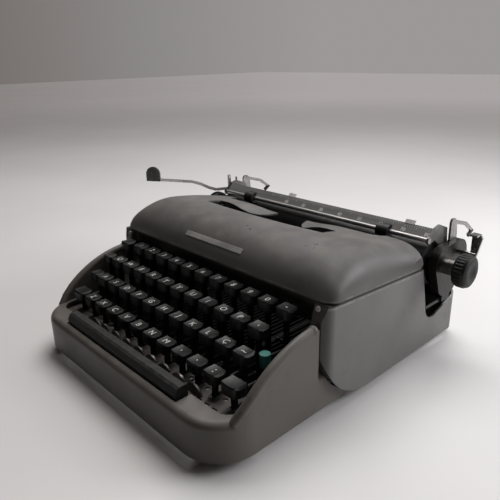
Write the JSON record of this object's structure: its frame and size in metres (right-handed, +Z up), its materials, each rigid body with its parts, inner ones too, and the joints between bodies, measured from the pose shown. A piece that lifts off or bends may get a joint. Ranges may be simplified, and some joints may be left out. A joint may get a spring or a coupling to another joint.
{
  "type": "portable typewriter",
  "caption": "Portable manual typewriter: low metal body with hinged ribbon cover, staggered keys on pivoting levers, and a sliding carriage with platen, paper bail and return lever.",
  "frame": {"origin": "on the table, under the middle of the whole outline with the return lever at rest", "axes": "+X to the typist's right, +Y to the back of the machine, +Z up"},
  "size_m": [0.3984, 0.308, 0.1263],
  "materials": {
    "body_paint": "satin stove enamel, warm grey, worn at the edges",
    "carriage_paint": "semi-gloss enamel, grey beige",
    "frame_steel": "dark oiled steel",
    "type_steel": "dull nickel on steel",
    "bail_steel": "satin steel with dark rollers",
    "bright_chrome": "polished plating",
    "foot_rubber": "matt",
    "platen_rubber": "smooth, slightly shiny",
    "knob_plastic": "gloss, dark green black",
    "key_plastic": "gloss, dark green black",
    "bar_plastic": "satin, dark grey",
    "selector_plastic": "gloss, teal green"
  },
  "bodies": {
    "base": {"base_frame": "body_paint", "rubber_feet": "foot_rubber", "body_shell": "body_paint", "chassis": "frame_steel", "type_basket": "type_steel"},
    "cover": {"top_cover": "body_paint"},
    "carriage": {"carriage_frame": "carriage_paint"},
    "platen_roller": {"platen": "platen_rubber", "platen_knobs": "knob_plastic"},
    "bail": {"paper_bail": "bail_steel"},
    "return_arm": {"return_lever": "bright_chrome"},
    "release_arm": {"carriage_release_lever": "bright_chrome"},
    "space_bar": {"space_bar": "bar_plastic"},
    "shift_keys": {"shift_keys": "key_plastic"},
    "backspace_key": {"backspace_key": "key_plastic"},
    "margin_release_key": {"margin_release_key": "key_plastic"},
    "ribbon_selector": {"ribbon_selector": "selector_plastic"},
    "lower_key_1": {"lower_key_1": "key_plastic"},
    "lower_key_2": {"lower_key_2": "key_plastic"},
    "lower_key_3": {"lower_key_3": "key_plastic"},
    "lower_key_4": {"lower_key_4": "key_plastic"},
    "lower_key_5": {"lower_key_5": "key_plastic"},
    "lower_key_6": {"lower_key_6": "key_plastic"},
    "lower_key_7": {"lower_key_7": "key_plastic"},
    "lower_key_8": {"lower_key_8": "key_plastic"},
    "lower_key_9": {"lower_key_9": "key_plastic"},
    "lower_key_10": {"lower_key_10": "key_plastic"},
    "home_key_1": {"home_key_1": "key_plastic"},
    "home_key_2": {"home_key_2": "key_plastic"},
    "home_key_3": {"home_key_3": "key_plastic"},
    "home_key_4": {"home_key_4": "key_plastic"},
    "home_key_5": {"home_key_5": "key_plastic"},
    "home_key_6": {"home_key_6": "key_plastic"},
    "home_key_7": {"home_key_7": "key_plastic"},
    "home_key_8": {"home_key_8": "key_plastic"},
    "home_key_9": {"home_key_9": "key_plastic"},
    "home_key_10": {"home_key_10": "key_plastic"},
    "home_key_11": {"home_key_11": "key_plastic"},
    "upper_key_1": {"upper_key_1": "key_plastic"},
    "upper_key_2": {"upper_key_2": "key_plastic"},
    "upper_key_3": {"upper_key_3": "key_plastic"},
    "upper_key_4": {"upper_key_4": "key_plastic"},
    "upper_key_5": {"upper_key_5": "key_plastic"},
    "upper_key_6": {"upper_key_6": "key_plastic"},
    "upper_key_7": {"upper_key_7": "key_plastic"},
    "upper_key_8": {"upper_key_8": "key_plastic"},
    "upper_key_9": {"upper_key_9": "key_plastic"},
    "upper_key_10": {"upper_key_10": "key_plastic"},
    "upper_key_11": {"upper_key_11": "key_plastic"},
    "number_key_1": {"number_key_1": "key_plastic"},
    "number_key_2": {"number_key_2": "key_plastic"},
    "number_key_3": {"number_key_3": "key_plastic"},
    "number_key_4": {"number_key_4": "key_plastic"},
    "number_key_5": {"number_key_5": "key_plastic"},
    "number_key_6": {"number_key_6": "key_plastic"},
    "number_key_7": {"number_key_7": "key_plastic"},
    "number_key_8": {"number_key_8": "key_plastic"},
    "number_key_9": {"number_key_9": "key_plastic"},
    "number_key_10": {"number_key_10": "key_plastic"},
    "number_key_11": {"number_key_11": "key_plastic"}
  },
  "joints": [
    {"name": "cover_hinge", "type": "hinge", "parent": "base", "child": "cover", "pos_m": [0.0335, 0.063, 0.09], "axis": [-1, 0, 0], "range_deg": [0, 38]},
    {"name": "carriage_slide", "type": "slide", "parent": "base", "child": "carriage", "axis": [-1, 0, 0], "range_m": [-0.0985, 0.1115]},
    {"name": "platen_turn", "type": "hinge", "parent": "carriage", "child": "platen_roller", "pos_m": [0.035, 0.09, 0.084], "axis": [1, 0, 0], "continuous": true},
    {"name": "bail_swing", "type": "hinge", "parent": "carriage", "child": "bail", "pos_m": [0.035, 0.107, 0.093], "axis": [-1, 0, 0], "range_deg": [0, 60], "stiffness_Nm_per_rad": 0.05, "springref_deg": -22.92},
    {"name": "return_arm_swing", "type": "hinge", "parent": "carriage", "child": "return_arm", "pos_m": [-0.10075, 0.102, 0.104], "axis": [0, 0, 1], "range_deg": [0, 30], "stiffness_Nm_per_rad": 0.6, "springref_deg": -8.59},
    {"name": "release_arm_swing", "type": "hinge", "parent": "carriage", "child": "release_arm", "pos_m": [0.175, 0.125, 0.086], "axis": [1, 0, 0], "range_deg": [0, 12], "stiffness_Nm_per_rad": 0.3, "springref_deg": -11.46},
    {"name": "ribbon_selector_tilt", "type": "hinge", "parent": "base", "child": "ribbon_selector", "pos_m": [0.1405, -0.046, 0.052], "axis": [1, 0, 0], "range_deg": [-5, 5]},
    {"name": "space_bar_press", "type": "hinge", "parent": "base", "child": "space_bar", "pos_m": [0.0335, 0.082, 0.028], "axis": [1, 0, 0], "range_deg": [0, 1.8], "stiffness_Nm_per_rad": 2, "springref_deg": -8.59},
    {"name": "shift_keys_press", "type": "hinge", "parent": "base", "child": "shift_keys", "pos_m": [0.0335, 0.082, 0.028], "axis": [1, 0, 0], "range_deg": [0, 3.2], "stiffness_Nm_per_rad": 4, "springref_deg": -6.88},
    {"name": "backspace_key_press", "type": "hinge", "parent": "base", "child": "backspace_key", "pos_m": [0.0335, 0.082, 0.028], "axis": [1, 0, 0], "range_deg": [0, 3.8], "stiffness_Nm_per_rad": 1.5, "springref_deg": -6.88},
    {"name": "margin_release_key_press", "type": "hinge", "parent": "base", "child": "margin_release_key", "pos_m": [0.0335, 0.082, 0.028], "axis": [1, 0, 0], "range_deg": [0, 4.3], "stiffness_Nm_per_rad": 1.5, "springref_deg": -6.88},
    {"name": "lower_key_1_press", "type": "hinge", "parent": "base", "child": "lower_key_1", "pos_m": [0.0335, 0.082, 0.028], "axis": [1, 0, 0], "range_deg": [0, 3.15], "stiffness_Nm_per_rad": 1, "springref_deg": -6.88},
    {"name": "lower_key_2_press", "type": "hinge", "parent": "base", "child": "lower_key_2", "pos_m": [0.0335, 0.082, 0.028], "axis": [1, 0, 0], "range_deg": [0, 3.15], "stiffness_Nm_per_rad": 1, "springref_deg": -6.88},
    {"name": "lower_key_3_press", "type": "hinge", "parent": "base", "child": "lower_key_3", "pos_m": [0.0335, 0.082, 0.028], "axis": [1, 0, 0], "range_deg": [0, 3.15], "stiffness_Nm_per_rad": 1, "springref_deg": -6.88},
    {"name": "lower_key_4_press", "type": "hinge", "parent": "base", "child": "lower_key_4", "pos_m": [0.0335, 0.082, 0.028], "axis": [1, 0, 0], "range_deg": [0, 3.15], "stiffness_Nm_per_rad": 1, "springref_deg": -6.88},
    {"name": "lower_key_5_press", "type": "hinge", "parent": "base", "child": "lower_key_5", "pos_m": [0.0335, 0.082, 0.028], "axis": [1, 0, 0], "range_deg": [0, 3.15], "stiffness_Nm_per_rad": 1, "springref_deg": -6.88},
    {"name": "lower_key_6_press", "type": "hinge", "parent": "base", "child": "lower_key_6", "pos_m": [0.0335, 0.082, 0.028], "axis": [1, 0, 0], "range_deg": [0, 3.15], "stiffness_Nm_per_rad": 1, "springref_deg": -6.88},
    {"name": "lower_key_7_press", "type": "hinge", "parent": "base", "child": "lower_key_7", "pos_m": [0.0335, 0.082, 0.028], "axis": [1, 0, 0], "range_deg": [0, 3.15], "stiffness_Nm_per_rad": 1, "springref_deg": -6.88},
    {"name": "lower_key_8_press", "type": "hinge", "parent": "base", "child": "lower_key_8", "pos_m": [0.0335, 0.082, 0.028], "axis": [1, 0, 0], "range_deg": [0, 3.15], "stiffness_Nm_per_rad": 1, "springref_deg": -6.88},
    {"name": "lower_key_9_press", "type": "hinge", "parent": "base", "child": "lower_key_9", "pos_m": [0.0335, 0.082, 0.028], "axis": [1, 0, 0], "range_deg": [0, 3.15], "stiffness_Nm_per_rad": 1, "springref_deg": -6.88},
    {"name": "lower_key_10_press", "type": "hinge", "parent": "base", "child": "lower_key_10", "pos_m": [0.0335, 0.082, 0.028], "axis": [1, 0, 0], "range_deg": [0, 3.15], "stiffness_Nm_per_rad": 1, "springref_deg": -6.88},
    {"name": "home_key_1_press", "type": "hinge", "parent": "base", "child": "home_key_1", "pos_m": [0.0335, 0.082, 0.028], "axis": [1, 0, 0], "range_deg": [0, 3.48], "stiffness_Nm_per_rad": 1, "springref_deg": -6.88},
    {"name": "home_key_2_press", "type": "hinge", "parent": "base", "child": "home_key_2", "pos_m": [0.0335, 0.082, 0.028], "axis": [1, 0, 0], "range_deg": [0, 3.48], "stiffness_Nm_per_rad": 1, "springref_deg": -6.88},
    {"name": "home_key_3_press", "type": "hinge", "parent": "base", "child": "home_key_3", "pos_m": [0.0335, 0.082, 0.028], "axis": [1, 0, 0], "range_deg": [0, 3.48], "stiffness_Nm_per_rad": 1, "springref_deg": -6.88},
    {"name": "home_key_4_press", "type": "hinge", "parent": "base", "child": "home_key_4", "pos_m": [0.0335, 0.082, 0.028], "axis": [1, 0, 0], "range_deg": [0, 3.48], "stiffness_Nm_per_rad": 1, "springref_deg": -6.88},
    {"name": "home_key_5_press", "type": "hinge", "parent": "base", "child": "home_key_5", "pos_m": [0.0335, 0.082, 0.028], "axis": [1, 0, 0], "range_deg": [0, 3.48], "stiffness_Nm_per_rad": 1, "springref_deg": -6.88},
    {"name": "home_key_6_press", "type": "hinge", "parent": "base", "child": "home_key_6", "pos_m": [0.0335, 0.082, 0.028], "axis": [1, 0, 0], "range_deg": [0, 3.48], "stiffness_Nm_per_rad": 1, "springref_deg": -6.88},
    {"name": "home_key_7_press", "type": "hinge", "parent": "base", "child": "home_key_7", "pos_m": [0.0335, 0.082, 0.028], "axis": [1, 0, 0], "range_deg": [0, 3.48], "stiffness_Nm_per_rad": 1, "springref_deg": -6.88},
    {"name": "home_key_8_press", "type": "hinge", "parent": "base", "child": "home_key_8", "pos_m": [0.0335, 0.082, 0.028], "axis": [1, 0, 0], "range_deg": [0, 3.48], "stiffness_Nm_per_rad": 1, "springref_deg": -6.88},
    {"name": "home_key_9_press", "type": "hinge", "parent": "base", "child": "home_key_9", "pos_m": [0.0335, 0.082, 0.028], "axis": [1, 0, 0], "range_deg": [0, 3.48], "stiffness_Nm_per_rad": 1, "springref_deg": -6.88},
    {"name": "home_key_10_press", "type": "hinge", "parent": "base", "child": "home_key_10", "pos_m": [0.0335, 0.082, 0.028], "axis": [1, 0, 0], "range_deg": [0, 3.48], "stiffness_Nm_per_rad": 1, "springref_deg": -6.88},
    {"name": "home_key_11_press", "type": "hinge", "parent": "base", "child": "home_key_11", "pos_m": [0.0335, 0.082, 0.028], "axis": [1, 0, 0], "range_deg": [0, 3.48], "stiffness_Nm_per_rad": 1, "springref_deg": -6.88},
    {"name": "upper_key_1_press", "type": "hinge", "parent": "base", "child": "upper_key_1", "pos_m": [0.0335, 0.082, 0.028], "axis": [1, 0, 0], "range_deg": [0, 3.9], "stiffness_Nm_per_rad": 1, "springref_deg": -6.88},
    {"name": "upper_key_2_press", "type": "hinge", "parent": "base", "child": "upper_key_2", "pos_m": [0.0335, 0.082, 0.028], "axis": [1, 0, 0], "range_deg": [0, 3.9], "stiffness_Nm_per_rad": 1, "springref_deg": -6.88},
    {"name": "upper_key_3_press", "type": "hinge", "parent": "base", "child": "upper_key_3", "pos_m": [0.0335, 0.082, 0.028], "axis": [1, 0, 0], "range_deg": [0, 3.9], "stiffness_Nm_per_rad": 1, "springref_deg": -6.88},
    {"name": "upper_key_4_press", "type": "hinge", "parent": "base", "child": "upper_key_4", "pos_m": [0.0335, 0.082, 0.028], "axis": [1, 0, 0], "range_deg": [0, 3.9], "stiffness_Nm_per_rad": 1, "springref_deg": -6.88},
    {"name": "upper_key_5_press", "type": "hinge", "parent": "base", "child": "upper_key_5", "pos_m": [0.0335, 0.082, 0.028], "axis": [1, 0, 0], "range_deg": [0, 3.9], "stiffness_Nm_per_rad": 1, "springref_deg": -6.88},
    {"name": "upper_key_6_press", "type": "hinge", "parent": "base", "child": "upper_key_6", "pos_m": [0.0335, 0.082, 0.028], "axis": [1, 0, 0], "range_deg": [0, 3.9], "stiffness_Nm_per_rad": 1, "springref_deg": -6.88},
    {"name": "upper_key_7_press", "type": "hinge", "parent": "base", "child": "upper_key_7", "pos_m": [0.0335, 0.082, 0.028], "axis": [1, 0, 0], "range_deg": [0, 3.9], "stiffness_Nm_per_rad": 1, "springref_deg": -6.88},
    {"name": "upper_key_8_press", "type": "hinge", "parent": "base", "child": "upper_key_8", "pos_m": [0.0335, 0.082, 0.028], "axis": [1, 0, 0], "range_deg": [0, 3.9], "stiffness_Nm_per_rad": 1, "springref_deg": -6.88},
    {"name": "upper_key_9_press", "type": "hinge", "parent": "base", "child": "upper_key_9", "pos_m": [0.0335, 0.082, 0.028], "axis": [1, 0, 0], "range_deg": [0, 3.9], "stiffness_Nm_per_rad": 1, "springref_deg": -6.88},
    {"name": "upper_key_10_press", "type": "hinge", "parent": "base", "child": "upper_key_10", "pos_m": [0.0335, 0.082, 0.028], "axis": [1, 0, 0], "range_deg": [0, 3.9], "stiffness_Nm_per_rad": 1, "springref_deg": -6.88},
    {"name": "upper_key_11_press", "type": "hinge", "parent": "base", "child": "upper_key_11", "pos_m": [0.0335, 0.082, 0.028], "axis": [1, 0, 0], "range_deg": [0, 3.9], "stiffness_Nm_per_rad": 1, "springref_deg": -6.88},
    {"name": "number_key_1_press", "type": "hinge", "parent": "base", "child": "number_key_1", "pos_m": [0.0335, 0.082, 0.028], "axis": [1, 0, 0], "range_deg": [0, 4.4], "stiffness_Nm_per_rad": 1, "springref_deg": -6.88},
    {"name": "number_key_2_press", "type": "hinge", "parent": "base", "child": "number_key_2", "pos_m": [0.0335, 0.082, 0.028], "axis": [1, 0, 0], "range_deg": [0, 4.4], "stiffness_Nm_per_rad": 1, "springref_deg": -6.88},
    {"name": "number_key_3_press", "type": "hinge", "parent": "base", "child": "number_key_3", "pos_m": [0.0335, 0.082, 0.028], "axis": [1, 0, 0], "range_deg": [0, 4.4], "stiffness_Nm_per_rad": 1, "springref_deg": -6.88},
    {"name": "number_key_4_press", "type": "hinge", "parent": "base", "child": "number_key_4", "pos_m": [0.0335, 0.082, 0.028], "axis": [1, 0, 0], "range_deg": [0, 4.4], "stiffness_Nm_per_rad": 1, "springref_deg": -6.88},
    {"name": "number_key_5_press", "type": "hinge", "parent": "base", "child": "number_key_5", "pos_m": [0.0335, 0.082, 0.028], "axis": [1, 0, 0], "range_deg": [0, 4.4], "stiffness_Nm_per_rad": 1, "springref_deg": -6.88},
    {"name": "number_key_6_press", "type": "hinge", "parent": "base", "child": "number_key_6", "pos_m": [0.0335, 0.082, 0.028], "axis": [1, 0, 0], "range_deg": [0, 4.4], "stiffness_Nm_per_rad": 1, "springref_deg": -6.88},
    {"name": "number_key_7_press", "type": "hinge", "parent": "base", "child": "number_key_7", "pos_m": [0.0335, 0.082, 0.028], "axis": [1, 0, 0], "range_deg": [0, 4.4], "stiffness_Nm_per_rad": 1, "springref_deg": -6.88},
    {"name": "number_key_8_press", "type": "hinge", "parent": "base", "child": "number_key_8", "pos_m": [0.0335, 0.082, 0.028], "axis": [1, 0, 0], "range_deg": [0, 4.4], "stiffness_Nm_per_rad": 1, "springref_deg": -6.88},
    {"name": "number_key_9_press", "type": "hinge", "parent": "base", "child": "number_key_9", "pos_m": [0.0335, 0.082, 0.028], "axis": [1, 0, 0], "range_deg": [0, 4.4], "stiffness_Nm_per_rad": 1, "springref_deg": -6.88},
    {"name": "number_key_10_press", "type": "hinge", "parent": "base", "child": "number_key_10", "pos_m": [0.0335, 0.082, 0.028], "axis": [1, 0, 0], "range_deg": [0, 4.4], "stiffness_Nm_per_rad": 1, "springref_deg": -6.88},
    {"name": "number_key_11_press", "type": "hinge", "parent": "base", "child": "number_key_11", "pos_m": [0.0335, 0.082, 0.028], "axis": [1, 0, 0], "range_deg": [0, 4.4], "stiffness_Nm_per_rad": 1, "springref_deg": -6.88}
  ]
}
